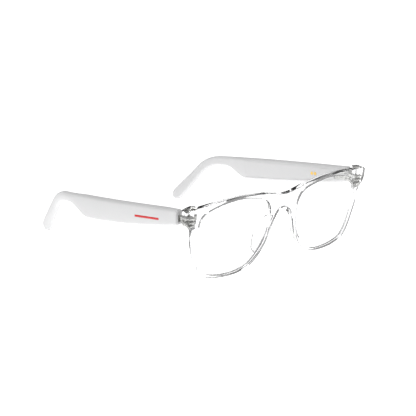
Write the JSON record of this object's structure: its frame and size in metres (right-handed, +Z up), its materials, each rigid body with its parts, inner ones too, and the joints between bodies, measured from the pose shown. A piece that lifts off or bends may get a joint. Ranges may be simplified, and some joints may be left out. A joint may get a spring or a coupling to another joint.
{
  "type": "smart glasses",
  "caption": "Clear full-rim smart glasses with thick light-grey folding temples that hold audio electronics, red accent strips and gold charging contacts.",
  "frame": {"origin": "on the table under the middle of the glasses' bounding box, with the glasses open and standing on the rims and the temple tips", "axes": "+X to the wearer's left, +Y from the front to the temple tips, +Z up"},
  "size_m": [0.1456, 0.1534, 0.0473],
  "materials": {
    "clear_plastic": "clear, polished",
    "lens_clear": "clear with a faint grey tint",
    "temple_plastic": "smooth satin, light grey",
    "red_plastic": "bright red",
    "contact_gold": "gold plated",
    "hinge_metal": "nickel silver, satin",
    "board_green": "solder mask",
    "chip_black": "moulded black",
    "flex_film": "amber polyimide film",
    "can_metal": "plain metal can or pouch foil",
    "grille_black": "black perforated sheet"
  },
  "bodies": {
    "front": {"front_frame": "clear_plastic", "lens_left": "lens_clear", "nose_pad_left": "clear_plastic", "hinge_front_leaf_left": "hinge_metal", "hinge_screw_left": "hinge_metal", "lens_right": "lens_clear", "nose_pad_right": "clear_plastic", "hinge_front_leaf_right": "hinge_metal", "hinge_screw_right": "hinge_metal"},
    "temple_left": {"temple_shell_left": "temple_plastic", "temple_cover_left": "temple_plastic", "hinge_temple_leaf_left": "hinge_metal", "accent_strip_left": "red_plastic", "touch_sensor_left": "flex_film", "circuit_board_left": "board_green", "bluetooth_chip_left": "chip_black", "microphone_left": "can_metal", "battery_left": "can_metal", "speaker_left": "chip_black", "speaker_flex_left": "flex_film", "speaker_grille_left": "grille_black", "charge_contact_1_left": "contact_gold", "charge_contact_2_left": "contact_gold", "charge_magnet_1_left": "can_metal", "charge_magnet_2_left": "can_metal", "hinge_leaf_screw_1_left": "hinge_metal", "hinge_leaf_screw_2_left": "hinge_metal"},
    "temple_right": {"temple_shell_right": "temple_plastic", "temple_cover_right": "temple_plastic", "hinge_temple_leaf_right": "hinge_metal", "accent_strip_right": "red_plastic", "touch_sensor_right": "flex_film", "circuit_board_right": "board_green", "bluetooth_chip_right": "chip_black", "microphone_right": "can_metal", "battery_right": "can_metal", "speaker_right": "chip_black", "speaker_flex_right": "flex_film", "speaker_grille_right": "grille_black", "charge_contact_1_right": "contact_gold", "charge_contact_2_right": "contact_gold", "charge_magnet_1_right": "can_metal", "charge_magnet_2_right": "can_metal", "hinge_leaf_screw_1_right": "hinge_metal", "hinge_leaf_screw_2_right": "hinge_metal"}
  },
  "joints": [
    {"name": "temple_left_fold", "type": "hinge", "parent": "front", "child": "temple_left", "pos_m": [0.0667, -0.06347, 0.03833], "axis": [0, -0.1511, 0.9885], "range_deg": [0, 87]},
    {"name": "temple_right_fold", "type": "hinge", "parent": "front", "child": "temple_right", "pos_m": [-0.0667, -0.06347, 0.03833], "axis": [0, 0.1511, -0.9885], "range_deg": [0, 77]}
  ]
}
